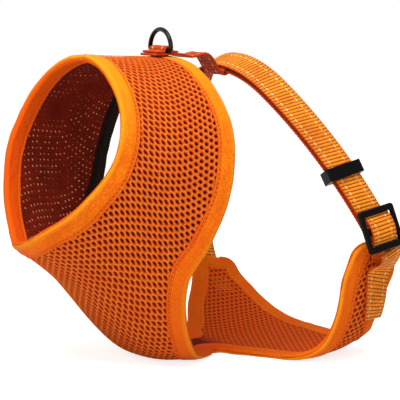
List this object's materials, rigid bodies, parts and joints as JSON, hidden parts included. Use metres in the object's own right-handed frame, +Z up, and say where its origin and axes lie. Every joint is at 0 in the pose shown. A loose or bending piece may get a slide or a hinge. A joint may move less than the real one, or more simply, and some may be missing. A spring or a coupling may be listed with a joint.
{
  "type": "dog harness",
  "caption": "Step-in or pull-over dog harness of open orange mesh with bound edges, a webbing girth strap, a slider, a side-release buckle and a leash ring on the back.",
  "frame": {"origin": "middle of the harness's bounding box in X and Y, on the plane it stands on", "axes": "-Y towards the wearer's head, +X the wearer's left, +Z up along the wearer's back"},
  "size_m": [0.2304, 0.253, 0.2299],
  "materials": {
    "air_mesh": "open spacer mesh",
    "inner_mesh": "fine dark mesh",
    "binding": "woven folded tape",
    "webbing": "ribbed webbing",
    "thread": "polyester thread",
    "ring_metal": "glossy black",
    "hardware_plastic": "moulded"
  },
  "bodies": {
    "harness": {"chest_mesh": "air_mesh", "belly_mesh": "air_mesh", "chest_lining": "inner_mesh", "belly_lining": "inner_mesh", "neck_binding": "binding", "left_armhole_binding": "binding", "right_armhole_binding": "binding", "belly_rear_binding": "binding", "left_wing_end_binding": "binding", "right_wing_end_binding": "binding", "top_seam_tape": "binding", "spine_webbing": "webbing", "spine_loop": "webbing", "ring_loop": "webbing", "girth_strap_outer": "webbing", "girth_strap_inner": "webbing", "left_wing_webbing": "webbing", "right_wing_webbing": "webbing", "left_wing_stitching": "thread", "right_wing_stitching": "thread", "buckle_socket": "hardware_plastic", "buckle_plug": "hardware_plastic"},
    "leash_ring": {"leash_ring": "ring_metal"},
    "strap_keeper": {"strap_keeper": "hardware_plastic"},
    "strap_slider": {"strap_slider": "hardware_plastic", "slider_webbing": "webbing"},
    "front_prong": {"front_prong": "hardware_plastic"},
    "rear_prong": {"rear_prong": "hardware_plastic"}
  },
  "joints": [
    {"name": "leash_ring_swing", "type": "hinge", "parent": "harness", "child": "leash_ring", "pos_m": [-0.00332, -0.00917, 0.2139], "axis": [1, 0, 0], "range_deg": [-75, 75]},
    {"name": "strap_keeper_slide", "type": "hinge", "parent": "harness", "child": "strap_keeper", "pos_m": [-0.12356, 0.12568, 0.03143], "axis": [0, 0.9107, 0.4131], "range_deg": [-8.43, 2.41]},
    {"name": "strap_slider_slide", "type": "hinge", "parent": "harness", "child": "strap_slider", "pos_m": [-0.12356, 0.12568, 0.03143], "axis": [0, 0.9107, 0.4131], "range_deg": [-2.89, 1.2]},
    {"name": "front_prong_press", "type": "hinge", "parent": "harness", "child": "front_prong", "pos_m": [-0.0954, 0.07215, 0.12523], "axis": [0.8921, 0.1866, -0.4114], "range_deg": [0, 8], "stiffness_Nm_per_rad": 0.05},
    {"name": "rear_prong_press", "type": "hinge", "parent": "harness", "child": "rear_prong", "pos_m": [-0.0954, 0.09037, 0.13349], "axis": [-0.8921, -0.1866, 0.4114], "range_deg": [0, 8], "stiffness_Nm_per_rad": 0.05}
  ],
  "couplings": [
    {"joint": "rear_prong_press", "follows": "front_prong_press", "ratio": 1}
  ]
}
